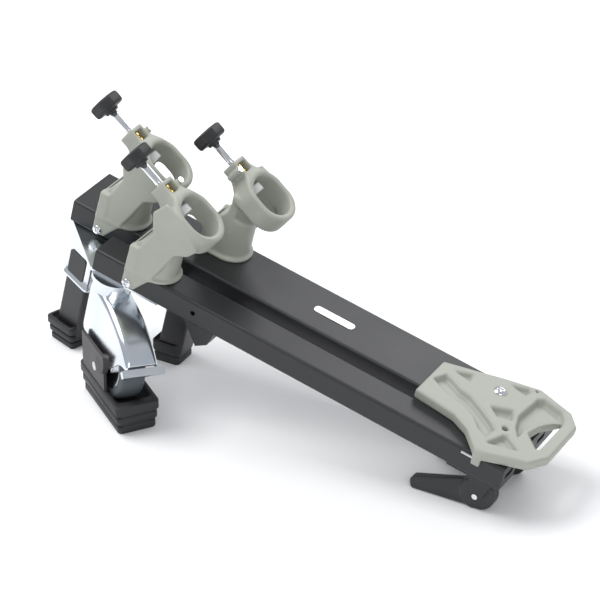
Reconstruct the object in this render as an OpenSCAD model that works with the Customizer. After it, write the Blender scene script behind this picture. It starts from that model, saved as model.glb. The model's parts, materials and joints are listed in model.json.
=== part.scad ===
// Two-beam bench jig: clamping deck on a caster leg, a telescopic leg and a rear leg.
// Deck frame: X along the beams from the front beam's left end, Y across towards the
// rear beam, Z out of the beams' top faces. The whole deck slopes down to the right.

/* [Deck] */
// Slope of the deck below level
deck_tilt = 13.5; // [8:0.5:18]
// Height of the front beam's upper left edge above the floor
deck_height = 172; // [165:1:190]
// Length of the front beam
beam_length = 468; // [430:1:520]
// Width of the front beam
front_beam_w = 33; // [32:0.5:38]
// Width of the rear beam
rear_beam_w = 68; // [60:1:80]
// Height of both beams
beam_h = 26; // [22:0.5:30]
// Wall of both beam tubes
beam_wall = 2.5; // [1.5:0.1:3]
// Gap between the two beams
beam_gap = 19; // [14:0.5:24]
// Length of the rear beam beyond the front beam's left end
rear_overhang = 62; // [50:1:75]
// Outer corner radius of the beam tubes
beam_corner = 3; // [2.6:0.1:4]
// Thickness of the plastic caps in the beam ends
cap_t = 3; // [2:0.5:5]
// Thickness of the bridge plates under the beams
bridge_t = 4; // [3:0.5:6]

/* [Clamps] */
// Place of the front clamp's datum along the deck
clamp_b_x = 0; // [-2:1:6]
// Offset of the rear left clamp along the deck
clamp_a_x = -70; // [-74:1:-66]
// Offset of the rear right clamp along the deck
clamp_c_x = 33; // [28:1:40]
// Width of a clamp casting across the deck
clamp_w = 47; // [46:0.5:50]
// Thickness of the clamp's side web
web_t = 5.5; // [5:0.25:7]
// Height of the clamp's slotted box
clamp_box_h = 31; // [27:1:33]
// Distance of the clamp screw's entry from the datum
entry_x = 42.5; // [40:0.5:45]
// Height of the clamp screw's entry above the deck
entry_z = 98; // [94:1:102]
// Dip of the clamp screw below the deck's direction
screw_dip = 27; // [24:0.5:30]
// Length of the clamp's jaw ring along the screw
ring_length = 60; // [58:0.5:64]
// Depth of the jaw ring
ring_depth = 26; // [24:0.5:30]
// Thickness of the ring's end walls
ring_end_wall = 7.5; // [6:0.25:9]
// Length of the neck between the screw's entry and the ring
neck_length = 20; // [19:0.5:24]
// Width of the neck
neck_w = 18; // [17.5:0.5:20]
// Height of the neck across the screw
neck_h = 20; // [18:0.5:22]

/* [Clamp screws] */
// Diameter of the clamp screw
spindle_d = 8; // [6:0.5:9]
// Distance from the knob's inner face to the neck
screw_reach = 26; // [25:0.5:32]
// Diameter of the knob
knob_d = 33; // [28:1:38]
// Thickness of the knob's grip
knob_t = 13; // [10:0.5:16]
// Ribs around the knob
knob_ribs = 32; // [24:4:40]
// Outer diameter of the brass nut
nut_d = 12; // [11:0.5:12.5]
// Length of the brass nut
nut_length = 11; // [9:0.5:12]
// Diameter of the pressure pad
pad_d = 15; // [13:0.5:16]
// Thickness of the pressure pad
pad_t = 9; // [7:0.5:10]

/* [Handle plate] */
// Distance of the plate's left edge from the front beam's left end
plate_x = 350; // [340:1:354]
// Thickness of the plate at its rim
plate_t = 11; // [9:0.5:13]
// Floor thickness under the plate's pockets
plate_floor = 5; // [4:0.5:7]
// Rounding of the plate's corners
plate_corner = 5; // [3:0.5:6]
// Diameter of the plate's tool hole
plate_hole_d = 6.5; // [5:0.25:8]

/* [Cam levers] */
// Diameter of the lever's cam hub
lever_hub_d = 36; // [34:1:40]
// Width of the lever's hub
lever_hub_w = 14; // [12:0.5:16]
// Length of the lever from its pivot to its tip
lever_length = 75; // [66:1:78]
// Distance of the lever's pivot from the front beam's left end
lever_x = 449; // [440:1:452]
// Diameter of the lever's pivot pin
lever_pin_d = 6; // [5:0.5:8]

/* [Caster] */
// Place of the caster's swivel axis along the deck
caster_x = 15; // [14:0.5:18]
// Turn of the caster about its swivel axis
caster_turn = -35; // [-38:1:-32]
// Distance of the wheel's axle ahead of the swivel axis
caster_trail = 50; // [48:0.5:54]
// Diameter of the wheel
wheel_d = 75; // [70:1:78]
// Width of the tyre
wheel_w = 26; // [22:0.5:27]
// Height of the boot's rubber under the wheel
boot_sole = 20; // [17:0.5:22]
// Diameter of the swivel head
head_d = 41; // [38:0.5:44]
// Thickness of the fork's sheet
fork_t = 2.5; // [2:0.25:3]

/* [Legs] */
// Place of the telescopic leg along the deck
leg_x = -48; // [-50:0.5:-44]
// Place of the telescopic leg across the deck
leg_y = 78; // [76:0.5:82]
// Width of the telescopic leg's inner tube
leg_w = 34; // [30:0.5:36]
// Depth of the telescopic leg's inner tube
leg_d = 25; // [22:0.5:28]
// Length of the leg's housing below the swivel head
housing_length = 60; // [54:1:66]
// Height of the leg's rubber boot
leg_boot_h = 27; // [24:0.5:32]
// Place of the rear leg along the deck
rear_leg_x = 60; // [56:1:70]
// Place of the rear leg across the deck
rear_leg_y = 101; // [98:0.5:103]
// Width of the square rear leg
rear_leg_w = 28; // [24:0.5:30]

/* [Hidden] */
$fn = 48;
edge = 0.01;
clearance = 0.05;
seat_gap = 0.3;

// Colours
powder_black = [0.10, 0.10, 0.11];
casting_grey = [0.60, 0.62, 0.56];
zinc = [0.72, 0.76, 0.80];
steel = [0.80, 0.80, 0.82];
brass = [0.78, 0.60, 0.25];
rubber_black = [0.06, 0.06, 0.065];
plastic_black = [0.13, 0.13, 0.14];

// Deck layout
rear_y = front_beam_w + beam_gap;
deck_w = rear_y + rear_beam_w;
floor_shift = deck_height * sin(deck_tilt);
foot_x = floor_x(rear_leg_x);
foot_y = rear_leg_y;

// Where a line square to the deck at x meets the floor, along the level direction
function floor_x(x) = (x - floor_shift) / cos(deck_tilt);
// How far below the deck's top face the floor lies at x, square to the deck
function floor_depth(x) = (deck_height - x * sin(deck_tilt)) / cos(deck_tilt);
// Height above the floor of a deck point
function deck_level(x, z) = deck_height - x * sin(deck_tilt) + z * cos(deck_tilt);
// Level direction's place of a deck point
function level_x(x, z) = x * cos(deck_tilt) + z * sin(deck_tilt);

module on_deck() translate([-foot_x, -foot_y, deck_height]) rotate([0, deck_tilt, 0]) children();
module on_floor() translate([-foot_x, -foot_y, 0]) children();

module rounded_rect(w, h, r) {
    translate([r, 0]) square([w - 2 * r, h]);
    translate([0, r]) square([w, h - 2 * r]);
    for (x = [r, w - r], y = [r, h - r]) translate([x, y]) circle(r);
}
module rounded_bar(x, y, h, r) translate([-x / 2, -y / 2, 0]) linear_extrude(h) rounded_rect(x, y, r);
// A prism whose outline lies in the plane of X and Z, from y = 0 towards +Y
module side_prism(y) translate([0, y, 0]) rotate([90, 0, 0]) linear_extrude(y) children();

// ---------------------------------------------------------------- beams
module beam_tube(length, width) {
    translate([0, 0, -beam_h]) rotate([90, 0, 90]) linear_extrude(length) difference() {
        rounded_rect(width, beam_h, beam_corner);
        translate([beam_wall, beam_wall])
            square([width - 2 * beam_wall, beam_h - 2 * beam_wall]);
    }
}
beam_hole_x = 116;
beam_hole_d = 5.5;
foot_screw_x = 40.4;
foot_screw_z = -14.8;
foot_screw_d = 5;
module front_beam() color(powder_black) on_deck() difference() {
    beam_tube(beam_length, front_beam_w);
    translate([beam_hole_x, -edge, -beam_h / 2]) rotate([-90, 0, 0])
        cylinder(d = beam_hole_d, h = beam_wall + 2 * edge);
    foot_screw_hole([clamp_b_x, 0, 0]);
}
module foot_screw_hole(at) translate(at) translate([foot_screw_x, -1, foot_screw_z])
    rotate([-90, 0, 0]) cylinder(d = foot_screw_d + 2 * clearance, h = beam_wall + 2);
module rear_beam() color(powder_black) on_deck() difference() {
    translate([-rear_overhang, rear_y, 0]) beam_tube(beam_length + rear_overhang, rear_beam_w);
    foot_screw_hole([clamp_a_x, rear_y, 0]);
    translate([0, deck_w, 0]) mirror([0, 1, 0]) foot_screw_hole([clamp_c_x, 0, 0]);
    translate([plate_pivot[0], plate_pivot[1], -beam_wall - 1])
        cylinder(d = plate_screw_d + 2 * clearance, h = beam_wall + 2);
}
cap_plug = 12;
module beam_cap(width) {
    translate([0, 0, -beam_h]) rotate([90, 0, 90]) {
        linear_extrude(cap_t) rounded_rect(width, beam_h, beam_corner);
        translate([0, 0, cap_t]) linear_extrude(cap_plug) difference() {
            translate([beam_wall + clearance, beam_wall + clearance])
                square([width - 2 * beam_wall - 2 * clearance, beam_h - 2 * beam_wall - 2 * clearance]);
            translate([2 * beam_wall, 2 * beam_wall])
                square([width - 4 * beam_wall, beam_h - 4 * beam_wall]);
        }
    }
}
module front_cap_left() color(plastic_black) on_deck() translate([-cap_t, 0, 0]) beam_cap(front_beam_w);
module rear_cap_left() color(plastic_black) on_deck()
    translate([-rear_overhang - cap_t, rear_y, 0]) beam_cap(rear_beam_w);
slot_w = 17;
slot_h = 7;
module end_cap(width) difference() {
    translate([beam_length + cap_t, 0, 0]) mirror([1, 0, 0]) beam_cap(width);
    translate([beam_length + cap_t / 2, width / 2, -beam_h / 2]) rotate([90, 0, 90])
        translate([0, 0, 0]) linear_extrude(cap_t) translate([-slot_w / 2, -slot_h / 2])
        rounded_rect(slot_w, slot_h, 2);
}
module front_cap_right() color(plastic_black) on_deck() end_cap(front_beam_w);
module rear_cap_right() color(plastic_black) on_deck() translate([0, rear_y, 0]) end_cap(rear_beam_w);

label_size = [46, 10];
label_t = 0.6;
module deck_label() color(steel) on_deck()
    translate([208, rear_y + 26, 0]) linear_extrude(label_t) rounded_rect(label_size[0], label_size[1], 4);

// ---------------------------------------------------------------- bridges under the beams
leg_bridge_x = [-66, 74];
lever_bridge_x = [412, 466];
bridge_inset = 4;
screw_head_d = 9;
screw_head_t = 2.5;
bridge_screw_d = 5;
bridge_screw_at = [
    [52, front_beam_w / 2], [66, rear_y + 14], [-14, rear_y + 14], [-56, rear_y + rear_beam_w - 10],
    [420, front_beam_w / 2], [420, rear_y + rear_beam_w / 2]
];
module bridge_holes() for (p = bridge_screw_at) translate([p[0], p[1], -beam_h - bridge_t - 1])
    cylinder(d = bridge_screw_d + 2 * clearance, h = bridge_t + 2);
module leg_bridge() color(zinc) on_deck() difference() {
    translate([0, 0, -beam_h - bridge_t]) linear_extrude(bridge_t) polygon([
        [caster_x - head_d / 2 - 2, bridge_inset], [leg_bridge_x[1], bridge_inset],
        [leg_bridge_x[1], deck_w - bridge_inset], [leg_bridge_x[0], deck_w - bridge_inset],
        [leg_bridge_x[0], leg_y - head_d / 2]]);
    bridge_holes();
}
module lever_bridge() color(powder_black) on_deck() difference() {
    translate([lever_bridge_x[0], bridge_inset, -beam_h - bridge_t])
        cube([lever_bridge_x[1] - lever_bridge_x[0], deck_w - 2 * bridge_inset, bridge_t]);
    bridge_holes();
}
module bridge_screws() color(steel) on_deck() for (p = bridge_screw_at)
    translate([p[0], p[1], -beam_h - bridge_t]) {
        translate([0, 0, -screw_head_t]) cylinder(d = screw_head_d, h = screw_head_t);
        cylinder(d = bridge_screw_d, h = bridge_t);
    }

// ---------------------------------------------------------------- handle plate
plate_pivot = [416, 91];
plate_hole = [446, 44];
plate_eye = [444, 118];
plate_screw_d = 6;
plate_lug_w = 5;
plate_lug_drop = 8;
plate_outline = [
    [plate_x, 32], [plate_x, 92], [410, 114], [446, 125], [486, 114], [500, 98],
    [500, 36], [488, 14], [448, -5], [437, -5], [416, 17], [398, 26]];
hand_opening = [[466, 54], [484, 97], [487, 92], [487, 40], [483, 38]];
plate_pockets = [
    [[360, 66], [366, 76], [392, 66], [416, 54], [440, 38], [434, 33], [408, 44], [384, 60]],
    [[362, 86], [384, 92], [378, 80], [366, 79]],
    [[421, 107], [440, 113], [440, 106], [430, 99]],
    [[425, 62], [436, 68], [443, 54], [432, 52]],
    [[444, 34], [452, 34], [468, 18], [450, 10], [440, 16]],
    [[452, 58], [448, 78], [446, 104], [468, 112], [482, 108], [474, 90], [462, 62], [470, 46]]];
module rounded_outline(points, r) offset(r) offset(-r) polygon(points);
module handle_plate() color(casting_grey) on_deck() difference() {
    union() {
        linear_extrude(plate_t) rounded_outline(plate_outline, plate_corner);
        translate([437, -plate_lug_w, -plate_lug_drop]) cube([9, plate_lug_w, plate_lug_drop + plate_t / 2]);
    }
    for (p = plate_pockets) translate([0, 0, plate_floor]) linear_extrude(plate_t)
        offset(1.5) offset(-1.5) polygon(p);
    translate([0, 0, -1]) linear_extrude(plate_t + 2) offset(3) offset(-3) polygon(hand_opening);
    translate([plate_pivot[0], plate_pivot[1], -1])
        cylinder(d = plate_screw_d + 2 * clearance, h = plate_t + 2);
    translate([plate_hole[0], plate_hole[1], -1]) cylinder(d = plate_hole_d, h = plate_t + 2);
    translate([plate_eye[0], plate_eye[1], plate_floor]) cylinder(d = 3, h = plate_t);
}
plate_head_d = 14;
plate_head_t = 3.5;
module cross_recess(d, depth) for (turn = [0, 90]) rotate(turn)
    translate([-d / 2, -d / 10, -depth]) cube([d, d / 5, depth + edge]);
module plate_screw() color(steel) on_deck() translate([plate_pivot[0], plate_pivot[1], plate_t])
    difference() {
        union() {
            cylinder(d = plate_head_d, h = plate_head_t);
            translate([0, 0, -plate_t - beam_wall]) cylinder(d = plate_screw_d, h = plate_t + beam_wall);
        }
        translate([0, 0, plate_head_t]) rotate(20) cross_recess(plate_head_d * 0.55, 2);
    }
module index_pin() color(steel) on_deck() translate([437, -plate_lug_w / 2, -2])
    rotate([0, -90, 0]) cylinder(d = 2.4, h = 12);

// ---------------------------------------------------------------- clamps
ring_wall = web_t;
ring_mid = neck_length + ring_length / 2;
ring_half_w = clamp_w / 2;
clamp_places = [
    [clamp_a_x, rear_y - web_t + clamp_w / 2, 0],
    [clamp_b_x, clamp_w / 2 - web_t, 0],
    [clamp_c_x, deck_w + web_t - clamp_w / 2, 1]];
module at_clamp(i) on_deck() translate([clamp_places[i][0], clamp_places[i][1], 0])
    mirror([0, clamp_places[i][2], 0]) children();
// Screw frame: origin at the screw's entry, +Z along the screw into the ring, -X upwards
module screw_frame() translate([entry_x, 0, entry_z]) rotate([0, 90 + screw_dip, 0]) children();
module ring_plan(grow) {
    w = clamp_w - 2 * (ring_wall - grow);
    l = ring_length - 2 * (ring_end_wall - grow * ring_end_wall / ring_wall);
    r = w / 2;
    hull() for (z = [-(l / 2 - r), l / 2 - r]) translate([0, z]) circle(r);
}
module ring_slice(grow, depth) translate([depth / 2, 0, ring_mid]) rotate([0, -90, 0])
    linear_extrude(depth) rotate(-90) ring_plan(grow);
web_outline = [
    [34, -12], [36, clamp_box_h], [45, clamp_box_h], [57, 57], [52, 80], [64, 96], [86, 88], [108, 62],
    [99, 51], [85, 44], [72, 16], [63, -1], [48, -20], [36, -19]];
core_outline = [[38, 0], [38, clamp_box_h], [58, 56], [62, 78], [104, 56], [88, 42], [88, 0]];
core_r = 20;
lip_r = clamp_w / 2;
lip_h = 3.5;
box_x = 36;
dee_x = 62;
box_slot = [5, 28, 22];
pocket_start = 4.5;
pocket_length = nut_length + 2 * clearance;
set_screw_d = 4;
set_screw_head_d = 7;
set_screw_rise = 2;
set_screw_at = [-neck_h / 2 - set_screw_rise, neck_w / 2 + 3, pocket_start + nut_length / 2];
module clamp_body() difference() {
    union() {
        translate([0, -clamp_w / 2, 0]) side_prism(web_t) polygon(web_outline);
        translate([0, -clamp_w / 2, 0]) side_prism(web_t)
            translate([foot_screw_x, foot_screw_z]) circle(6.5);
        intersection() {
            linear_extrude(90) {
                translate([38, -core_r]) square([dee_x - 38, 2 * core_r]);
                translate([dee_x, 0]) circle(core_r);
            }
            translate([0, -clamp_w / 2, 0]) side_prism(clamp_w) polygon(core_outline);
        }
        linear_extrude(lip_h) {
            translate([box_x, -lip_r]) square([dee_x - box_x, 2 * lip_r]);
            translate([dee_x, 0]) circle(lip_r);
        }
        translate([box_x, -clamp_w / 2, 0]) cube([10, clamp_w, clamp_box_h]);
        screw_frame() hull() {
            ring_slice(ring_wall, ring_depth);
            translate([-neck_h / 2, -neck_w / 2, 0]) cube([neck_h, neck_w, neck_length]);
        }
        screw_frame() translate([set_screw_at[0], set_screw_at[1], set_screw_at[2]])
            rotate([0, 90, 0]) cylinder(d = set_screw_head_d, h = neck_h - 4);
    }
    screw_frame() ring_slice(0, ring_depth + 30);
    screw_frame() translate([0, 0, -1])
        cylinder(d = spindle_d + 1, h = neck_length + ring_end_wall + 2);
    screw_frame() translate([-neck_h, -nut_d / 2 - clearance, pocket_start])
        cube([neck_h, nut_d + 2 * clearance, pocket_length]);
    screw_frame() translate([0, 0, pocket_start]) cylinder(d = nut_d + 2 * clearance, h = pocket_length);
    screw_frame() translate(set_screw_at) rotate([0, 90, 0])
        cylinder(d = set_screw_d + 2 * clearance, h = neck_h / 3 + set_screw_rise);
    translate([box_x + 2.5, -box_slot[1] / 2, clamp_box_h - box_slot[2]]) cube([box_slot[0], box_slot[1], 30]);
    translate([foot_screw_x, -clamp_w / 2 - 1, foot_screw_z]) rotate([-90, 0, 0])
        cylinder(d = foot_screw_d + 2 * clearance, h = web_t + 2);
}
module clamp_body_a() color(casting_grey) at_clamp(0) clamp_body();
module clamp_body_b() color(casting_grey) at_clamp(1) clamp_body();
module clamp_body_c() color(casting_grey) at_clamp(2) clamp_body();

module clamp_nut() screw_frame() translate([0, 0, pocket_start + clearance]) difference() {
    union() {
        cylinder(d = nut_d, h = nut_length);
        translate([-neck_h / 2 + 1.5, -nut_d / 2, 0]) cube([neck_h / 2 - 1.5, nut_d, nut_length * 0.36]);
        translate([-neck_h / 2 + 1.5, -nut_d / 2, nut_length * 0.64])
            cube([neck_h / 2 - 1.5, nut_d, nut_length * 0.36]);
    }
    translate([0, 0, -1]) cylinder(d = spindle_d + 2 * clearance, h = nut_length + 2);
}
module clamp_nut_a() color(brass) at_clamp(0) clamp_nut();
module clamp_nut_b() color(brass) at_clamp(1) clamp_nut();
module clamp_nut_c() color(brass) at_clamp(2) clamp_nut();

module slotted_screw() difference() {
    union() {
        cylinder(d = set_screw_head_d - 1, h = 2);
        translate([0, 0, -neck_h / 4]) cylinder(d = set_screw_d, h = neck_h / 4);
    }
    translate([-set_screw_head_d, -0.5, 1]) cube([2 * set_screw_head_d, 1, 2]);
}
module nut_set_screws() color(steel) for (i = [0:2]) at_clamp(i) screw_frame()
    translate(set_screw_at) rotate([0, -90, 0]) slotted_screw();

foot_head_d = 10;
foot_head_t = 3;
module foot_screws() color(steel) for (i = [0:2]) at_clamp(i)
    translate([foot_screw_x, -clamp_w / 2, foot_screw_z]) rotate([90, 0, 0]) difference() {
        union() {
            cylinder(d = foot_head_d, h = foot_head_t);
            translate([0, 0, -web_t - beam_wall]) cylinder(d = foot_screw_d, h = web_t + beam_wall);
        }
        translate([0, 0, foot_head_t]) rotate(20) cross_recess(foot_head_d * 0.55, 1.5);
    }

pad_start = 30;
tip_d = 5;
tip_h = 4;
module clamp_pad() screw_frame() translate([0, 0, pad_start]) difference() {
    cylinder(d = pad_d, h = pad_t);
    translate([0, 0, -1]) cylinder(d = tip_d + 2 * clearance, h = tip_h + 1);
}
pad_grey = [0.82, 0.83, 0.82];
module pad_a() color(pad_grey) at_clamp(0) clamp_pad();
module pad_b() color(pad_grey) at_clamp(1) clamp_pad();
module pad_c() color(pad_grey) at_clamp(2) clamp_pad();

knob_socket = 9;
module spindle() screw_frame() {
    translate([0, 0, -screw_reach - knob_socket])
        cylinder(d = spindle_d, h = screw_reach + knob_socket + pad_start - seat_gap);
    translate([0, 0, pad_start - 1]) cylinder(d = tip_d, h = tip_h + 1 - seat_gap);
}
module spindle_a() color(steel) at_clamp(0) spindle();
module spindle_b() color(steel) at_clamp(1) spindle();
module spindle_c() color(steel) at_clamp(2) spindle();

knob_hub_d = 15;
knob_hub_t = 3;
rib_depth = 0.8;
knob_flat = 0.93;
function knob_radius(turn) = min(knob_d / 2, knob_flat * knob_d / 2 / max(abs(cos(turn)), abs(sin(turn))));
module knob_outline() polygon([for (i = [0:2 * knob_ribs - 1])
    let (turn = i * 180 / knob_ribs, r = knob_radius(turn) - (i % 2) * rib_depth)
    [r * cos(turn), r * sin(turn)]]);
module knob() screw_frame() translate([0, 0, -screw_reach]) difference() {
    union() {
        translate([0, 0, -knob_hub_t - knob_t]) linear_extrude(knob_t) knob_outline();
        translate([0, 0, -knob_hub_t]) cylinder(d = knob_hub_d, h = knob_hub_t);
    }
    translate([0, 0, -knob_socket]) cylinder(d = spindle_d + 2 * clearance, h = knob_socket + 1);
}
module knob_a() color(plastic_black) at_clamp(0) knob();
module knob_b() color(plastic_black) at_clamp(1) knob();
module knob_c() color(plastic_black) at_clamp(2) knob();

// ---------------------------------------------------------------- cam levers
lever_y = [front_beam_w / 2, rear_y + rear_beam_w / 2];
lever_r = lever_hub_d / 2;
// The hub's lowest point rests on the floor
lever_z = -(deck_height - lever_x * sin(deck_tilt) - lever_r) / cos(deck_tilt);
lever_dip = 22;
tip_r = 6;
ear_t = 4;
ear_gap = lever_hub_w + 2 * seat_gap;
module lever_brackets() color(powder_black) on_deck() for (y = lever_y, side = [-1, 1])
    translate([lever_x, y + side * (ear_gap + ear_t) / 2, 0]) rotate([90, 0, 0]) difference() {
        translate([0, 0, -ear_t / 2]) linear_extrude(ear_t) hull() {
            translate([0, lever_z]) circle(lever_pin_d);
            translate([-12, -beam_h - bridge_t - 2]) square([24, 2]);
        }
        translate([0, lever_z, -ear_t]) cylinder(d = lever_pin_d + 2 * clearance, h = 2 * ear_t);
    }
module lever_pins() color(steel) on_deck() for (y = lever_y)
    translate([lever_x, y, lever_z]) rotate([90, 0, 0])
    cylinder(d = lever_pin_d, h = ear_gap + 2 * ear_t + 2, center = true);
module cam_lever(y) on_deck() translate([lever_x, y, lever_z]) rotate([90, 0, 0])
    difference() {
        union() {
            cylinder(r = lever_r, h = lever_hub_w, center = true);
            linear_extrude(lever_hub_w, center = true) rotate(lever_dip) polygon([
                [-lever_length, -tip_r], [-lever_length + 3, -tip_r - 1], [-8, -lever_r + 2],
                [-8, lever_r - 4], [-lever_length + 4, tip_r - 1], [-lever_length, tip_r - 4]]);
        }
        cylinder(d = lever_pin_d + 2 * clearance, h = lever_hub_w + 2, center = true);
    }
module cam_lever_front() color(plastic_black) cam_lever(lever_y[0]);
module cam_lever_rear() color(plastic_black) cam_lever(lever_y[1]);

// ---------------------------------------------------------------- caster
caster_y = front_beam_w / 2;
head_top = -beam_h - bridge_t;
head_h = 16;
head_flange_h = 5;
fork_top = head_top - head_h - seat_gap;
// Axle depth that leaves the boot's sole under the wheel
axle_x = caster_x + caster_trail * cos(caster_turn);
axle_y = caster_y + caster_trail * sin(caster_turn);
axle_z = -(deck_height - axle_x * sin(deck_tilt) - boot_sole - wheel_d / 2) / cos(deck_tilt);
fork_inner = wheel_w + 4;
fork_w = fork_inner + 2 * fork_t;
axle_d = 8;
module swivel_head() {
    translate([0, 0, head_top - head_flange_h]) cylinder(d = head_d + 5, h = head_flange_h);
    translate([0, 0, head_top - head_h]) cylinder(d = head_d, h = head_h);
}
module caster_head() color(zinc) on_deck() translate([caster_x, caster_y, 0]) difference() {
    swivel_head();
    translate([0, 0, head_top - head_h - 1]) cylinder(d = kingpin_d + 2 * clearance, h = head_h + 2);
}
kingpin_d = 10;
// Fork frame: +X towards the wheel, origin on the swivel axis at the deck's top face
module fork_frame() on_deck() translate([caster_x, caster_y, 0]) rotate(caster_turn) children();
hood_reach = caster_trail + 46;
fork_side = [
    [-15, fork_top], [22, fork_top], [50, fork_top - 4], [76, fork_top - 12], [hood_reach, fork_top - 27],
    [hood_reach - 12, fork_top - 30], [74, axle_z + 22], [64, axle_z + 4], [60, axle_z - 10],
    [42, axle_z - 12], [-10, fork_top - 44]];
hood_line = [
    [-15, fork_top], [22, fork_top], [50, fork_top - 4], [76, fork_top - 12], [hood_reach, fork_top - 27],
    [hood_reach - 1, fork_top - 27 - fork_t], [75.4, fork_top - 12 - fork_t], [49.6, fork_top - 4 - fork_t],
    [22, fork_top - fork_t], [-15, fork_top - fork_t]];
module fork() color(zinc) fork_frame() difference() {
    union() {
        for (y = [-fork_w / 2, fork_inner / 2]) translate([0, y, 0]) side_prism(fork_t) polygon(fork_side);
        translate([0, -fork_w / 2, 0]) side_prism(fork_w) polygon(hood_line);
        translate([0, 0, fork_top]) cylinder(d = kingpin_d, h = head_h);
    }
    translate([caster_trail, 0, axle_z]) rotate([90, 0, 0])
        cylinder(d = axle_d + 2 * clearance, h = fork_w + 2, center = true);
}
hood_slope = atan2(15, hood_reach - 76);
module fork_label() color(steel) fork_frame()
    translate([hood_reach, 0, fork_top - 27]) rotate([0, hood_slope, 0])
    translate([-14, -11, 0]) linear_extrude(label_t) rounded_rect(9, 22, 1.5);
module fork_bumper() color(zinc) fork_frame() translate([hood_reach, 0, fork_top - 29])
    rotate([0, hood_slope, 0]) translate([0, -23, -2.5]) linear_extrude(5) rounded_rect(8, 46, 1.5);
axle_head_d = 13;
axle_head_t = 3;
module wheel_axle() color(steel) fork_frame() translate([caster_trail, 0, axle_z]) rotate([90, 0, 0]) {
    cylinder(d = axle_d, h = fork_w, center = true);
    for (side = [-1, 1]) translate([0, 0, side * (fork_w + axle_head_t) / 2])
        cylinder(d = axle_head_d, h = axle_head_t, center = true);
}
hub_d = 52;
module wheel_hub() color(zinc) fork_frame() translate([caster_trail, 0, axle_z]) rotate([90, 0, 0])
    rotate_extrude() polygon([
        [axle_d / 2 + clearance, -fork_inner / 2 + seat_gap], [11, -fork_inner / 2 + seat_gap],
        [12, -wheel_w / 2 + 4], [20, -wheel_w / 2 + 2], [hub_d / 2, -wheel_w / 2 + 1],
        [hub_d / 2, wheel_w / 2 - 1], [20, wheel_w / 2 - 2], [12, wheel_w / 2 - 4],
        [11, fork_inner / 2 - seat_gap], [axle_d / 2 + clearance, fork_inner / 2 - seat_gap]]);
tread_crown = 3;
module tyre() color([0.25, 0.27, 0.29]) fork_frame() translate([caster_trail, 0, axle_z])
    rotate([90, 0, 0]) rotate_extrude() polygon([
        [hub_d / 2, -wheel_w / 2], [wheel_d / 2 - tread_crown, -wheel_w / 2],
        [wheel_d / 2 - 0.6, -wheel_w / 4], [wheel_d / 2, 0], [wheel_d / 2 - 0.6, wheel_w / 4],
        [wheel_d / 2 - tread_crown, wheel_w / 2], [hub_d / 2, wheel_w / 2]]);

// Boot frame: level, on the floor under the wheel's axle, +X along the wheel
boot_x = level_x(axle_x, axle_z);
boot_turn = atan2(sin(caster_turn), cos(caster_turn) * cos(deck_tilt));
boot_back = 6;
boot_size = [100, 41];
boot_h = 33;
boot_tiers = 3;
module boot_frame() on_floor() translate([boot_x, axle_y, 0]) rotate(boot_turn)
    translate([-boot_back, 0, 0]) children();
module tiered_boot(size, h, tiers, grow) for (i = [0:tiers - 1])
    let (pitch = h / tiers, x = size[0] + grow * i, y = size[1] + grow * i) {
        translate([0, 0, i * pitch]) rounded_bar(x, y, pitch * 0.75, 4);
        translate([0, 0, i * pitch]) rounded_bar(x - 3, y - 3, pitch, 3);
    }
module wheel_room() fork_frame() translate([caster_trail, 0, axle_z]) rotate([90, 0, 0])
    cylinder(d = wheel_d + 2 * seat_gap, h = fork_inner + 1, center = true);
module caster_boot() color(rubber_black) difference() {
    boot_frame() tiered_boot(boot_size, boot_h, boot_tiers, 3);
    wheel_room();
}
cover_size = [60, 3, 40];
cover_y = -boot_size[1] / 2 - 2;
module side_cover() color([0.17, 0.15, 0.16]) difference() {
    union() {
        boot_frame() translate([-44, cover_y, boot_h]) cube(cover_size);
        fork_frame() translate([caster_trail, -fork_w / 2 - 3, axle_z]) rotate([90, 0, 0]) cylinder(d = 20, h = 6, center = true);
    }
    fork_frame() translate([caster_trail, -fork_w / 2 - axle_head_t / 2, axle_z]) rotate([90, 0, 0])
        cylinder(d = axle_head_d + 2 * clearance, h = axle_head_t + 2 * clearance, center = true);
}
module cover_badge() color([0.85, 0.85, 0.85]) boot_frame() translate([-10, cover_y, boot_h + 16])
    rotate([90, 0, 0]) cylinder(d = 9, h = label_t);

// ---------------------------------------------------------------- telescopic leg
leg_turn = -20;
module leg_frame() on_deck() translate([leg_x, leg_y, 0]) rotate(leg_turn) children();
housing_wall = 3;
housing_size = [leg_w + 2 * housing_wall + 2 * seat_gap, leg_d + 2 * housing_wall + 2 * seat_gap];
housing_top = head_top - head_h;
housing_bottom = housing_top - housing_length;
module leg_head() color(zinc) on_deck() translate([leg_x, leg_y, 0]) swivel_head();
module leg_housing() color(zinc) leg_frame() difference() {
    translate([0, 0, housing_bottom]) union() {
        rounded_bar(housing_size[0], housing_size[1], housing_length, 4);
        translate([0, 0, housing_length - 14]) cylinder(d = head_d + 2, h = 14);
        rounded_bar(housing_size[0] + 2, housing_size[1] + 2, 3, 4);
    }
    translate([0, 0, housing_bottom - 1])
        rounded_bar(leg_w + 2 * seat_gap, leg_d + 2 * seat_gap, housing_length - 3, 3);
    translate([0, 0, lock_z]) rotate([0, -90, 0]) cylinder(d = lock_pin_d + 2 * clearance, h = 30);
}
module housing_label() color(plastic_black) leg_frame()
    translate([0, -housing_size[1] / 2, housing_bottom + 8]) rotate([90, 0, 0])
    linear_extrude(label_t) translate([-12, 0]) rounded_rect(26, 28, 3);
leg_floor = floor_depth(leg_x);
leg_top_gap = 20;
leg_end = 12;
leg_wall = 2;
leg_corner = 3;
module leg_tube() color(powder_black) leg_frame() translate([0, 0, -leg_floor + leg_end]) difference() {
    rounded_bar(leg_w, leg_d, leg_floor - leg_end + housing_top - leg_top_gap, leg_corner);
    translate([0, 0, -1]) rounded_bar(leg_w - 2 * leg_wall, leg_d - 2 * leg_wall, leg_floor, 1);
}
leg_boot_size = [38, 31];
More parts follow.
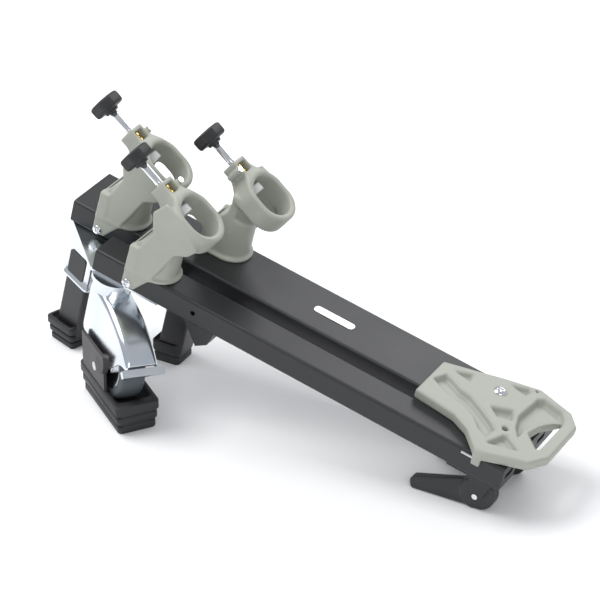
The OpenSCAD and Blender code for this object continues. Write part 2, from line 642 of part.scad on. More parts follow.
module leg_boot_frame() on_floor() translate([floor_x(leg_x), leg_y, 0]) rotate(leg_turn) children();
module leg_boot() color(rubber_black) difference() {
    leg_boot_frame() tiered_boot(leg_boot_size, leg_boot_h, 3, 2.5);
    leg_frame() translate([0, 0, -leg_floor + leg_end]) rounded_bar(leg_w, leg_d, 2 * leg_boot_h, leg_corner);
}
lock_z = housing_bottom + 14;
lock_pin_d = 6;
lock_x = -housing_size[0] / 2;
lock_lever_t = 5;
lock_lever_x = lock_x - seat_gap - lock_lever_t;
module lock_pin() color(steel) leg_frame() translate([lock_lever_x, 0, lock_z]) rotate([0, 90, 0])
    cylinder(d = lock_pin_d, h = lock_lever_t + seat_gap + housing_wall);
module lock_lever() color(plastic_black) leg_frame() translate([lock_lever_x, 0, lock_z])
    rotate([0, 90, 0]) difference() {
        linear_extrude(lock_lever_t) hull() {
            circle(7);
            translate([-26, 0]) circle(4);
        }
        translate([0, 0, -1]) cylinder(d = lock_pin_d + 2 * clearance, h = lock_lever_t + 2);
    }

// ---------------------------------------------------------------- rear leg
foot_h = 14;
rear_floor = floor_depth(rear_leg_x);
module rear_leg() color(powder_black) on_deck() translate([rear_leg_x, rear_leg_y, 0])
    translate([0, 0, -rear_floor + foot_h]) difference() {
        rounded_bar(rear_leg_w, rear_leg_w, rear_floor - foot_h + head_top, leg_corner);
        translate([0, 0, -1])
            rounded_bar(rear_leg_w - 2 * leg_wall, rear_leg_w - 2 * leg_wall, rear_floor, 1);
    }
module rear_leg_foot() color(rubber_black) difference() {
    on_floor() translate([foot_x, foot_y, 0]) rounded_bar(rear_leg_w + 6, rear_leg_w + 6, foot_h + 10, 5);
    on_deck() translate([rear_leg_x, rear_leg_y, -rear_floor + foot_h])
        rounded_bar(rear_leg_w, rear_leg_w, 3 * foot_h, leg_corner);
}
block_x = 122;
module stop_block() color(powder_black) on_deck() translate([block_x - 20, 6, 0])
    side_prism(front_beam_w - 12) polygon([[0, -beam_h], [40, -beam_h], [34, -beam_h - 20], [22, -beam_h - 28]]);

front_beam();
rear_beam();
front_cap_left();
front_cap_right();
rear_cap_left();
rear_cap_right();
leg_bridge();
lever_bridge();
bridge_screws();
deck_label();
handle_plate();
plate_screw();
index_pin();
clamp_body_a();
clamp_body_b();
clamp_body_c();
clamp_nut_a();
clamp_nut_b();
clamp_nut_c();
nut_set_screws();
foot_screws();
pad_a();
pad_b();
pad_c();
spindle_a();
spindle_b();
spindle_c();
knob_a();
knob_b();
knob_c();
lever_brackets();
lever_pins();
cam_lever_front();
cam_lever_rear();
caster_head();
fork();
fork_label();
fork_bumper();
wheel_axle();
wheel_hub();
tyre();
side_cover();
cover_badge();
caster_boot();
leg_head();
leg_housing();
housing_label();
leg_tube();
leg_boot();
lock_lever();
lock_pin();
rear_leg();
rear_leg_foot();
stop_block();
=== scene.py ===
"""Two-beam bench clamping jig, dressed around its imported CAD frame.

Pieces are modelled in millimetres in their own local frames (deck, clamp, screw, fork, boot),
which are worked out from the frame's joints and boxes, and are then turned into metres in the
row's frame.
Castings and mouldings are signed distance fields whose zero surface is meshed; turned and folded
pieces are lofts of rings.
"""
import json
import math

import bmesh
import bpy
import numpy as np
from mathutils import Matrix, Vector


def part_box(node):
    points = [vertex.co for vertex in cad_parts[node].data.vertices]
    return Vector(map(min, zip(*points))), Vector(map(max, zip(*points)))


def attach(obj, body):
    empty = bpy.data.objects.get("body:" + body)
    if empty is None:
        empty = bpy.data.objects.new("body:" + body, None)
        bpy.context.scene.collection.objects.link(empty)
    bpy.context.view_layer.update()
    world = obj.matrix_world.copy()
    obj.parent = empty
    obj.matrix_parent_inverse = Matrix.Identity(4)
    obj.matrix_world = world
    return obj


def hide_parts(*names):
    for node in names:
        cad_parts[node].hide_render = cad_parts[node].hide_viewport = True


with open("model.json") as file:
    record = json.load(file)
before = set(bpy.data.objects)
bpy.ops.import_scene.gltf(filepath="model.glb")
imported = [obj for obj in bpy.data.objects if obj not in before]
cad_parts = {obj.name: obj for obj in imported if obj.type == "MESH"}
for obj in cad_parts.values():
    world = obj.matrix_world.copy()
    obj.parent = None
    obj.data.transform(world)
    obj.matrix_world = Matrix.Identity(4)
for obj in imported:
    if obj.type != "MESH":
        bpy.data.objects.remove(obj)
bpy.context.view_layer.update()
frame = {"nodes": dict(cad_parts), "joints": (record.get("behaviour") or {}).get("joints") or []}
joints = {joint["name"]: joint for joint in frame["joints"]}

# ------------------------------------------------------------------ frames
MM = 0.001
BEAM_H = 26
ENTRY = (42.5, 98)
SCREW_DIP = 27
CLAMPS = "abc"


def axes_frame(x, y, z, origin):
    """Local millimetres to row metres, with the given axes."""
    turn = Matrix([list(row) for row in zip(x, y, z)]).to_4x4()
    return Matrix.Translation(origin) @ turn @ Matrix.Scale(MM, 4)


def shifted(base, place, turn=0.0, axis="Z"):
    return base @ Matrix.Translation(place) @ Matrix.Rotation(math.radians(turn), 4, axis)


deck_normal = Vector(joints["caster_swivel"]["axis"]).normalized()
deck_across = Vector((0, 1, 0))
deck_along = deck_across.cross(deck_normal)
front_low, front_high = (Vector(corner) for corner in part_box("front_beam"))
deck_origin = Vector((front_low.x + BEAM_H * MM * deck_normal.x, front_low.y, front_high.z))
deck = axes_frame(deck_along, deck_across, deck_normal, deck_origin)


def on_deck(point):
    """A row point in deck millimetres."""
    return deck.inverted() @ Vector(point)


def clamp_frame(letter):
    """X along the deck, Y across from the casting's middle plane away from its web, Z up."""
    entry = on_deck(joints["screw_turn_" + letter]["pos_m"])
    base = shifted(deck, (entry.x - ENTRY[0], entry.y, entry.z - ENTRY[1]))
    return base @ Matrix.Scale(-1, 4, (0, 1, 0)) if letter == "c" else base


def screw_frame(letter):
    """Origin at the screw's entry, Z along the screw into the ring, -X upwards."""
    return shifted(clamp_frame(letter), (ENTRY[0], 0, ENTRY[1]), 90 + SCREW_DIP, "Y")


swivel = on_deck(joints["caster_swivel"]["pos_m"])
axle = on_deck(joints["wheel_spin"]["pos_m"])
caster_turn = math.degrees(math.atan2(axle.y - swivel.y, axle.x - swivel.x))
caster_trail = math.hypot(axle.x - swivel.x, axle.y - swivel.y)
fork_frame = shifted(deck, (swivel.x, swivel.y, 0), caster_turn)
wheel_frame = shifted(fork_frame, (caster_trail, 0, axle.z), 90, "X")
fork_heading = fork_frame.to_3x3() @ Vector((1, 0, 0))


def level_frame(heading, origin):
    """Level axes, X along the heading, origin on the floor."""
    flat = Vector((heading.x, heading.y, 0)).normalized()
    return axes_frame(flat, Vector((-flat.y, flat.x, 0)), Vector((0, 0, 1)), origin)


def middle(node):
    low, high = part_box(node)
    return (Vector(low) + Vector(high)) / 2


boot_middle = middle("caster_boot")
boot_frame = level_frame(fork_heading, Vector((boot_middle.x, boot_middle.y, 0)))
lock_axis = Vector(joints["lock_lever_hinge"]["axis"])
leg_turn = math.degrees(math.atan2(lock_axis.y, lock_axis.dot(deck_along)))
leg_head_middle = on_deck(middle("leg_head"))
leg_frame = shifted(deck, (leg_head_middle.x, leg_head_middle.y, 0), leg_turn)
leg_boot_middle = middle("leg_boot")
leg_boot_frame = axes_frame(
    Vector((math.cos(math.radians(leg_turn)), math.sin(math.radians(leg_turn)), 0)),
    Vector((-math.sin(math.radians(leg_turn)), math.cos(math.radians(leg_turn)), 0)),
    Vector((0, 0, 1)), Vector((leg_boot_middle.x, leg_boot_middle.y, 0)))


# ------------------------------------------------------------------ meshes
def finish_piece(name, vertices, faces, place, material, body, slot, nodes=(), smooth=True):
    mesh = bpy.data.meshes.new(name)
    mesh.from_pydata([place @ Vector(v) for v in vertices], [], faces)
    work = bmesh.new()
    work.from_mesh(mesh)
    bmesh.ops.recalc_face_normals(work, faces=work.faces)
    work.to_mesh(mesh)
    work.free()
    mesh.polygons.foreach_set("use_smooth", [smooth] * len(mesh.polygons))
    mesh.materials.append(material)
    obj = bpy.data.objects.new(name, mesh)
    bpy.context.scene.collection.objects.link(obj)
    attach(obj, body)
    if nodes:
        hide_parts(*nodes)
    return obj


def ring_loft(rings, closed_ends=True, closed_path=False):
    """Vertices and faces through rings that all have as many points."""
    count = len(rings[0])
    vertices = [point for ring in rings for point in ring]
    faces = []
    spans = len(rings) if closed_path else len(rings) - 1
    for i in range(spans):
        a, b = i * count, (i + 1) % len(rings) * count
        for j in range(count):
            k = (j + 1) % count
            faces.append((a + j, a + k, b + k, b + j))
    if closed_ends and not closed_path:
        faces.append(tuple(reversed(range(count))))
        faces.append(tuple(range(len(vertices) - count, len(vertices))))
    return vertices, faces


def circle_ring(radius, z, count=64):
    return [(radius * math.cos(t), radius * math.sin(t), z)
            for t in (2 * math.pi * i / count for i in range(count))]


def rect_ring(width, depth, radius, z, per_corner=8):
    """A rounded rectangle at height z."""
    points = []
    for corner in range(4):
        sx, sy = ((1, 1), (-1, 1), (-1, -1), (1, -1))[corner]
        for i in range(per_corner):
            t = math.pi / 2 * (corner + i / (per_corner - 1))
            points.append((sx * (width / 2 - radius) + radius * math.cos(t),
                           sy * (depth / 2 - radius) + radius * math.sin(t), z))
    return points


def lathe(profile, count=64):
    return ring_loft([circle_ring(r, z, count) for r, z in profile])


def rounded_profile(corners, radius, steps=4):
    """Rounds each inner corner of an open profile."""
    points = [corners[0]]
    for before, here, after in zip(corners, corners[1:], corners[2:]):
        p, q, s = Vector(before), Vector(here), Vector(after)
        reach = min(radius, (p - q).length * 0.45, (s - q).length * 0.45)
        start, end = q + (p - q).normalized() * reach, q + (s - q).normalized() * reach
        for i in range(steps + 1):
            t = i / steps
            points.append(tuple((1 - t) ** 2 * start + 2 * t * (1 - t) * q + t ** 2 * end))
    points.append(corners[-1])
    return points


# ------------------------------------------------------------------ distance fields
def axis_values(low, high, step, axis):
    shape = [1, 1, 1]
    shape[axis] = -1
    return np.arange(low[axis], high[axis] + step, step).reshape(shape)


def round_slab(flat, level, half, radius):
    """A flat field made solid between -half and half of level, its rims rounded."""
    a, b = flat + radius, np.abs(level) - half + radius
    return np.minimum(np.maximum(a, b), 0) + np.hypot(np.maximum(a, 0), np.maximum(b, 0)) - radius


def outline_field(u, v, points):
    """Signed distance to a closed outline, below zero inside."""
    nearest = np.full(np.broadcast(u, v).shape, np.inf)
    inside = np.zeros(nearest.shape, bool)
    for (x0, y0), (x1, y1) in zip(points, points[1:] + points[:1]):
        ex, ey = x1 - x0, y1 - y0
        t = np.clip(((u - x0) * ex + (v - y0) * ey) / (ex * ex + ey * ey), 0, 1)
        nearest = np.minimum(nearest, np.hypot(u - x0 - t * ex, v - y0 - t * ey))
        inside ^= ((y0 > v) != (y1 > v)) & (u < x0 + (v - y0) * ex / (ey or 1))
    return np.where(inside, -nearest, nearest)


def stadium_field(u, v, half_straight, radius):
    return np.hypot(np.maximum(np.abs(u) - half_straight, 0), v) - radius


def block_field(x, y, z, low, high):
    parts = [np.abs(c - (l + h) / 2) - (h - l) / 2 for c, l, h in zip((x, y, z), low, high)]
    outside = np.sqrt(sum(np.maximum(p, 0) ** 2 for p in parts))
    return outside + np.minimum(np.maximum(np.maximum(parts[0], parts[1]), parts[2]), 0)


def blend_union(a, b, k):
    h = np.maximum(k - np.abs(a - b), 0) / k
    return np.minimum(a, b) - h * h * k / 4


def blend_cut(a, b, k):
    return -blend_union(-a, b, k)


def soften(field, rounds):
    """Rounds every edge of a field a little, inside and out."""
    for _ in range(rounds):
        for axis in range(3):
            wide = np.concatenate([np.take(field, [0], axis), field, np.take(field, [-1], axis)],
                                  axis)
            size = field.shape[axis]
            before = np.take(wide, range(size), axis)
            after = np.take(wide, range(2, size + 2), axis)
            field = (before + 2 * field + after) / 4
    return field


def zero_surface(field, low, step):
    """Vertices and quads of the surface where the field is zero (surface nets)."""
    shape = np.array(field.shape)
    cells = shape - 1
    total = int(cells.prod())
    sums, counts, quads = np.zeros((total, 3)), np.zeros(total), []
    for axis in range(3):
        u, v = (axis + 1) % 3, (axis + 2) % 3
        first = np.take(field, range(shape[axis] - 1), axis)
        second = np.take(field, range(1, shape[axis]), axis)
        where = np.argwhere((first < 0) != (second < 0))
        a, b = first[tuple(where.T)], second[tuple(where.T)]
        point = where.astype(float)
        point[:, axis] += a / (a - b)
        ring = []
        for du, dv in ((0, 0), (1, 0), (1, 1), (0, 1)):
            cell = where.copy()
            cell[:, u] -= du
            cell[:, v] -= dv
            ids = np.ravel_multi_index(cell.T, cells)
            ring.append(ids)
            counts += np.bincount(ids, minlength=total)
            for k in range(3):
                sums[:, k] += np.bincount(ids, point[:, k], total)
        ring = np.stack(ring, 1)
        ring[a < 0] = ring[a < 0][:, ::-1]
        quads.append(ring)
    used = np.flatnonzero(counts)
    index = np.zeros(total, int)
    index[used] = np.arange(len(used))
    vertices = sums[used] / counts[used, None] * step + np.array(low)
    return vertices.tolist(), index[np.concatenate(quads)].tolist()


# ------------------------------------------------------------------ materials
def principled(name, colour, metallic, roughness):
    material = bpy.data.materials.new(name)
    material.use_nodes = True
    shader = material.node_tree.nodes["Principled BSDF"]
    shader.inputs["Base Color"].default_value = (*colour, 1)
    shader.inputs["Metallic"].default_value = metallic
    shader.inputs["Roughness"].default_value = roughness
    return material, shader


def add_noise(material, scale, detail=4.0, stretch=(1, 1, 1)):
    nodes, links = material.node_tree.nodes, material.node_tree.links
    place = nodes.new("ShaderNodeTexCoord")
    mapping = nodes.new("ShaderNodeMapping")
    mapping.inputs["Scale"].default_value = stretch
    noise = nodes.new("ShaderNodeTexNoise")
    noise.inputs["Scale"].default_value = scale
    noise.inputs["Detail"].default_value = detail
    links.new(place.outputs["Object"], mapping.inputs["Vector"])
    links.new(mapping.outputs["Vector"], noise.inputs["Vector"])
    return noise.outputs["Fac"]


def vary(material, shader, socket, signal, low, high):
    """Drives a plain number on the shader between two values."""
    ramp = material.node_tree.nodes.new("ShaderNodeMapRange")
    ramp.inputs["From Min"].default_value = 0.3
    ramp.inputs["From Max"].default_value = 0.7
    ramp.inputs["To Min"].default_value = low
    ramp.inputs["To Max"].default_value = high
    material.node_tree.links.new(signal, ramp.inputs["Value"])
    material.node_tree.links.new(ramp.outputs["Result"], shader.inputs[socket])


def vary_colour(material, shader, signal, dark, light):
    ramp = material.node_tree.nodes.new("ShaderNodeValToRGB")
    ramp.color_ramp.elements[0].position = 0.3
    ramp.color_ramp.elements[1].position = 0.7
    ramp.color_ramp.elements[0].color = (*dark, 1)
    ramp.color_ramp.elements[1].color = (*light, 1)
    material.node_tree.links.new(signal, ramp.inputs["Fac"])
    material.node_tree.links.new(ramp.outputs["Color"], shader.inputs["Base Color"])


def add_bump(material, shader, signal, strength, distance):
    bump = material.node_tree.nodes.new("ShaderNodeBump")
    bump.inputs["Strength"].default_value = strength
    bump.inputs["Distance"].default_value = distance
    material.node_tree.links.new(signal, bump.inputs["Height"])
    material.node_tree.links.new(bump.outputs["Normal"], shader.inputs["Normal"])


def textured(name, dark, light, metallic, roughness, tone_scale, grain_scale, grain, depth,
             specular=0.5):
    """Colour drifts slowly, roughness with it, and a fine grain stands in relief."""
    material, shader = principled(name, light, metallic, sum(roughness) / 2)
    shader.inputs["Specular IOR Level"].default_value = specular
    tone = add_noise(material, tone_scale, 3.0)
    vary_colour(material, shader, tone, dark, light)
    vary(material, shader, "Roughness", tone, *roughness)
    add_bump(material, shader, add_noise(material, grain_scale, 2.0), grain, depth)
    return material


powder = textured("powder_coat", (0.016, 0.016, 0.018), (0.021, 0.021, 0.023), 0.0, (0.36, 0.46),
                  9.0, 1500.0, 0.25, 0.0002)
casting = textured("casting_grey_green", (0.335, 0.345, 0.300), (0.370, 0.380, 0.330), 0.0,
                   (0.42, 0.52),
                   18.0, 1100.0, 0.12, 0.0002)
zinc = textured("zinc_plate", (0.66, 0.71, 0.76), (0.80, 0.83, 0.86), 1.0, (0.13, 0.26), 26.0,
                420.0, 0.05, 0.0002)
chrome = textured("chrome", (0.74, 0.75, 0.77), (0.84, 0.85, 0.86), 1.0, (0.08, 0.16), 60.0, 900.0,
                  0.03, 0.0001)
brass = textured("turned_brass", (0.72, 0.50, 0.17), (0.86, 0.65, 0.27), 1.0, (0.16, 0.30), 90.0,
                 900.0, 0.08, 0.0001)
rubber = textured("boot_rubber", (0.012, 0.012, 0.013), (0.020, 0.020, 0.021), 0.0, (0.45, 0.62),
                  22.0, 900.0, 0.30, 0.0002)
tyre_rubber = textured("tyre_grey", (0.050, 0.060, 0.068), (0.066, 0.077, 0.086), 0.0, (0.40, 0.52),
                       20.0, 800.0, 0.12, 0.0002)
knob_plastic = textured("knob_plastic", (0.014, 0.014, 0.015), (0.022, 0.022, 0.023), 0.0,
                        (0.38, 0.52),
                        30.0, 1300.0, 0.30, 0.0002)
cover_plastic = textured("cover_plastic", (0.036, 0.031, 0.033), (0.048, 0.042, 0.044), 0.0,
                         (0.42, 0.55),
                         24.0, 1200.0, 0.20, 0.0002)
lever_plastic = textured("lever_plastic", (0.018, 0.019, 0.020), (0.028, 0.029, 0.030), 0.0,
                         (0.40, 0.52),
                         24.0, 1200.0, 0.25, 0.0002)
pad_plastic = textured("pad_plastic", (0.60, 0.61, 0.60), (0.70, 0.71, 0.70), 0.0, (0.35, 0.5),
                       60.0, 900.0, 0.1, 0.0002)
label_metal = textured("label_metal", (0.55, 0.56, 0.57), (0.68, 0.69, 0.70), 1.0, (0.28, 0.40),
                       50.0, 700.0, 0.05, 0.0001)
badge_white = textured("badge_white", (0.62, 0.62, 0.62), (0.74, 0.74, 0.74), 0.0, (0.4, 0.5),
                       80.0, 900.0, 0.05, 0.0001)

NODE_MATERIALS = {
    powder: ("front_beam", "rear_beam", "lever_bridge", "leg_tube", "rear_leg", "stop_block",
             "lever_brackets"),
    zinc: ("leg_bridge", "caster_head", "fork_bumper", "leg_head"),
    chrome: ("bridge_screws", "index_pin", "nut_set_screws", "lever_pins", "wheel_axle",
             "lock_pin"),
    knob_plastic: ("front_cap_left", "front_cap_right", "rear_cap_left", "rear_cap_right",
                   "housing_label",
                   "lock_lever"),
    label_metal: ("deck_label", "fork_label"),
    badge_white: ("cover_badge",),
}
BEVELLED = {"front_cap_left": 0.8, "front_cap_right": 0.8, "rear_cap_left": 0.8,
            "rear_cap_right": 0.8,
            "lock_lever": 1.2, "leg_head": 1.2, "caster_head": 1.2, "fork_bumper": 1.2,
            "nut_set_screws": 0.4,
            "stop_block": 1.5, "lever_brackets": 0.8, "index_pin": 0.4, "lever_pins": 0.5,
            "bridge_screws": 0.5,
            "housing_label": 0.25, "deck_label": 0.25, "fork_label": 0.25, "rear_leg": 0.6}
for node_material, names in NODE_MATERIALS.items():
    for node_name in names:
        node_object = frame["nodes"][node_name]
        node_object.data.materials.clear()
        node_object.data.materials.append(node_material)
for node_name, width in BEVELLED.items():
    bevel = frame["nodes"][node_name].modifiers.new("edge", "BEVEL")
    bevel.width = width * MM
    bevel.segments = 2
    bevel.limit_method = "ANGLE"
    bevel.angle_limit = math.radians(35)
    bevel.harden_normals = False

# ------------------------------------------------------------------ clamp castings
CLAMP_W = 47
WEB_T = 5.5
BOX_H = 31
RING_MID = 50
RING_OUTER = (6.5, 23.5)
RING_INNER = (4.5, 18)
RING_HALF_DEPTH = 13
WEB = [(34, -12), (36, BOX_H), (45, BOX_H), (57, 57), (52, 80), (64, 96), (86, 88), (108, 62),
       (99, 51), (85, 44), (72, 16), (63, -1), (48, -20), (36, -19)]
CORE = [(38, 0), (38, BOX_H), (58, 56), (62, 78), (104, 56), (88, 42), (88, 0)]
FOOT_SCREW = (40.4, -14.8)
SET_SCREW = (12, 10)
BOSS_R = 3.5
SCREW_BORE_R = 4.6
CORE_R = 20
LIP_R = CLAMP_W / 2
DEE_X = 62
dip = math.radians(SCREW_DIP)


def casting_field(x, y, z):
    run = (x - ENTRY[0]) * math.cos(dip) - (z - ENTRY[1]) * math.sin(dip)
    rise = (x - ENTRY[0]) * math.sin(dip) + (z - ENTRY[1]) * math.cos(dip)
    ring = round_slab(stadium_field(run - RING_MID, y, *RING_OUTER), rise, RING_HALF_DEPTH, 2.5)
    neck = block_field(run, y, rise, (0, -9, -10), (26, 9, 10))
    solid = blend_union(ring, neck, 13)
    web = outline_field(x, z, WEB)
    web = np.minimum(web, np.hypot(x - FOOT_SCREW[0], z - FOOT_SCREW[1]) - 6.5)
    web = round_slab(web, y + (CLAMP_W - WEB_T) / 2, WEB_T / 2, 1.0)
    dee = np.minimum(block_field(x, y, 0, (38, -CORE_R, -1), (DEE_X, CORE_R, 1)),
                     np.hypot(x - DEE_X, y) - CORE_R)
    core = np.maximum(np.maximum(dee, outline_field(x, z, CORE)), -z)
    lip = np.minimum(block_field(x, y, 0, (36, -LIP_R, -1), (DEE_X, LIP_R, 1)),
                     np.hypot(x - DEE_X, y) - LIP_R)
    lip = round_slab(lip, z - 1.75, 1.75, 0.8)
    box = block_field(x, y, z, (36, -LIP_R, 0), (46, LIP_R, BOX_H))
    solid = blend_union(solid, core, 7)
    solid = blend_union(solid, web, 2.5)
    solid = blend_union(solid, blend_union(lip, box, 2), 3)
    boss = np.maximum(np.hypot(y - SET_SCREW[0], run - SET_SCREW[1]) - BOSS_R,
                      np.maximum(rise - 12, -6 - rise))
    solid = blend_union(solid, boss, 2)
    draft = 0.5 * (rise + RING_HALF_DEPTH) / (2 * RING_HALF_DEPTH)
    hollow = np.maximum(stadium_field(run - RING_MID, y, *RING_INNER) - draft, -30 - rise)
    solid = blend_cut(solid, hollow, 3)
    bore = np.maximum(np.hypot(y, rise) - SCREW_BORE_R, np.abs(run - 13) - 17)
    pocket = block_field(run, y, rise, (4.5, -6.05, -20), (15.6, 6.05, 20))
    pocket = np.maximum(pocket, -(rise + 6.05))
    slot = block_field(x, y, z, (38.5, -14, 9), (43.5, 14, 60))
    screw = np.maximum(np.hypot(x - FOOT_SCREW[0], z - FOOT_SCREW[1]) - 2.6, y + 10)
    for cut in (bore, pocket, slot, screw):
        solid = np.maximum(solid, -cut)
    return solid


CASTING_LOW, CASTING_HIGH, CASTING_STEP = (30, -27, -25), (124, 27, 116), 1.0
grid = [axis_values(CASTING_LOW, CASTING_HIGH, CASTING_STEP, axis) for axis in range(3)]
casting_mesh = zero_surface(soften(casting_field(*grid), 1), CASTING_LOW, CASTING_STEP)
for letter in CLAMPS:
    finish_piece("clamp_casting_" + letter, *casting_mesh, clamp_frame(letter), casting, "deck",
                 "grey_green_moulding", ["clamp_body_" + letter])

# ------------------------------------------------------------------ clamp screws
REACH = 26
KNOB_R = 16.5
KNOB_T = 13
KNOB_RIBS = 44


def knob_ring(scale, z, rib, count=KNOB_RIBS * 6):
    """A round knob with four flats, ribbed between them."""
    ring = []
    for i in range(count):
        t = 2 * math.pi * i / count
        flat = 0.93 * KNOB_R / max(abs(math.cos(t)), abs(math.sin(t)))
        radius = min(KNOB_R, flat)
        if flat > KNOB_R:
            radius -= rib * (0.5 + 0.5 * math.cos(KNOB_RIBS * t))
        ring.append((radius * scale * math.cos(t), radius * scale * math.sin(t), z))
    return ring


def knob_mesh():
    top, low = -REACH - 3 - KNOB_T, -REACH - 3
    levels = [(0.02, top + 1.2, 0), (0.50, top + 1.2, 0), (0.58, top + 0.4, 0), (0.80, top, 0),
              (0.90, top + 0.3, 0),
              (0.97, top + 1.3, 0.5), (1.0, top + 2.4, 0.9), (1.0, low - 3.5, 0.9),
              (0.96, low - 1.2, 0.6),
              (0.86, low - 0.1, 0), (0.50, low, 0)]
    rings = [knob_ring(*level) for level in levels]
    rings += [circle_ring(r, z, KNOB_RIBS * 6) for r,
              z in ((7.6, low + 0.2), (7.4, low + 2.4), (6.6, low + 3), (4.05, low + 3))]
    return ring_loft(rings)


def spindle_mesh():
    profile = [(3.4, -REACH - 2), (4.0, -REACH - 1.5), (4.0, -2)]
    turn = -1.5
    while turn < 26:
        profile += [(4.0, turn), (3.55, turn + 0.5), (4.0, turn + 1.0)]
        turn += 1.25
    profile += [(4.0, 28.2), (3.2, 29.4), (2.4, 29.6), (2.4, 33.4)]
    return lathe(profile, 32)


def nut_mesh():
    profile = rounded_profile([(4.1, 4.6), (5.9, 4.6), (5.9, 8.6), (4.9, 9.0), (4.9, 11.0),
                               (5.9, 11.4), (5.9, 15.5),
                               (4.1, 15.5)], 0.35, 2)
    return ring_loft([circle_ring(r, z, 48) for r, z in profile], closed_path=True)


def pad_mesh():
    return lathe([(2.6, 30.1)] + rounded_profile([(2.6, 30.1), (6.2, 30.1), (7.4, 31.4),
                                                  (7.4, 38.9), (0.1, 38.9)], 0.8), 48)


for letter in CLAMPS:
    place = screw_frame(letter)
    turning, sliding = "clamp_screw_" + letter, "carriage_" + letter
    finish_piece("ribbed_knob_" + letter, *knob_mesh(), place, knob_plastic, turning,
                 "black_plastic", ["knob_" + letter])
    finish_piece("threaded_spindle_" + letter, *spindle_mesh(), place, chrome, turning, "chrome",
                 ["spindle_" + letter])
    finish_piece("pressure_pad_" + letter, *pad_mesh(), place, pad_plastic, sliding, "pad_plastic",
                 ["pad_" + letter])
    finish_piece("brass_nut_" + letter, *nut_mesh(), place, brass, "deck", "brass",
                 ["clamp_nut_" + letter])

# ------------------------------------------------------------------ cross-head screws
def pan_head_mesh(radius, height, shank, reach):
    """A pan head with a cross recess, its seat at z = 0."""
    step = radius / 22
    low, high = (-radius * 1.15, -radius * 1.15, -reach - 2 * step), (radius * 1.15, radius * 1.15,
                                                                      height + 2 * step)
    x, y, z = (axis_values(low, high, step, axis) for axis in range(3))
    dome = np.sqrt(x * x + y * y + (z + 0.9 * radius) ** 2) - (0.9 * radius + height)
    head = np.maximum(np.maximum(np.hypot(x, y) - radius, -z), dome)
    stem = np.maximum(np.hypot(x, y) - shank, np.maximum(z - 0.1, -reach - z))
    a, b = x * math.cos(0.35) + y * math.sin(0.35), -x * math.sin(0.35) + y * math.cos(0.35)
    arm = radius * 0.52
    slope = (height - z) * 0.45
    cross = np.minimum(np.maximum(np.abs(a) - arm + slope, np.abs(b) - radius * 0.11),
                       np.maximum(np.abs(b) - arm + slope, np.abs(a) - radius * 0.11))
    cross = np.maximum(cross, 0.25 * height - z)
    return zero_surface(soften(np.maximum(np.minimum(head, stem), -cross), 1), low, step)


foot_screw_mesh = pan_head_mesh(5.0, 2.9, 2.3, 3.0)
for letter in CLAMPS:
    place = shifted(clamp_frame(letter), (FOOT_SCREW[0], -CLAMP_W / 2, FOOT_SCREW[1]), 90, "X")
    finish_piece("foot_screw_" + letter, *foot_screw_mesh, place, chrome,
                                     "deck", "chrome")
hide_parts("foot_screws")
PLATE_SCREW = (416, 91)
PLATE_TOP = 11
finish_piece("plate_pan_screw", *pan_head_mesh(7.0, 3.4, 2.9, 4.0),
             shifted(deck, (*PLATE_SCREW, PLATE_TOP)), chrome,
             "deck", "chrome", ["plate_screw"])

# ------------------------------------------------------------------ handle plate
PLATE = [(350, 32), (350, 92), (410, 114), (446, 125), (486, 114), (500, 98), (500, 36), (488, 14),
         (448, -5),
         (437, -5), (416, 17), (398, 26)]
HAND = [(466, 54), (470, 74), (484, 97), (487, 92), (487, 40), (483, 38)]
POCKETS = [
    ([(356, 60), (363, 76), (372, 73), (385, 66), (398, 63), (414, 54), (431, 43), (439, 36),
      (437, 20),
      (426, 25), (414, 38), (400, 46), (378, 50)], 5.0),
    ([(366, 86), (384, 95), (386, 83)], 6.0),
    ([(420, 108), (437, 116), (440, 112), (438, 104)], 6.0),
    ([(419, 64), (440, 75), (446, 60), (431, 55)], 5.0),
    ([(441, 12), (449, 34), (453, 36), (472, 24)], 5.5),
    ([(462, 40), (453, 53), (447, 71), (450, 108), (456, 113), (478, 108), (486, 98), (472, 80),
      (461, 58)], 4.5)]


def plate_field(x, y, z):
    rim = round_slab(outline_field(x, y, PLATE) + 1.0, z - PLATE_TOP / 2, PLATE_TOP / 2, 2.2)
    lug = block_field(x, y, z, (437, -5, -8), (446, 0, 8))
    solid = blend_union(rim, lug, 2)
    for outline, floor in POCKETS:
        wall = outline_field(x, y, outline)
        solid = blend_cut(solid, np.maximum(wall * 0.9 - (z - PLATE_TOP) * 0.35, floor - z), 1.6)
    hand = outline_field(x, y, HAND)
    solid = blend_cut(solid, hand + 1.0, 3)
    holes = ((446, 44, 3.25, -2), (444, 118, 1.5, 5), (*PLATE_SCREW, 3.05, -2))
    for hx, hy, radius, floor in holes:
        solid = np.maximum(solid, -np.maximum(np.hypot(x - hx, y - hy) - radius, floor - z))
    return solid


PLATE_LOW, PLATE_HIGH, PLATE_STEP = (347, -8, -11), (503, 128, 14), 0.85
grid = [axis_values(PLATE_LOW, PLATE_HIGH, PLATE_STEP, axis) for axis in range(3)]
plate_mesh = zero_surface(soften(plate_field(*grid), 1), PLATE_LOW, PLATE_STEP)
finish_piece("handle_casting", *plate_mesh, deck, casting, "deck", "grey_green_moulding",
             ["handle_plate"])

# ------------------------------------------------------------------ cam levers
LEVER_R = 18
LEVER_W = 14
LEVER_L = 75
LEVER_DIP = 22


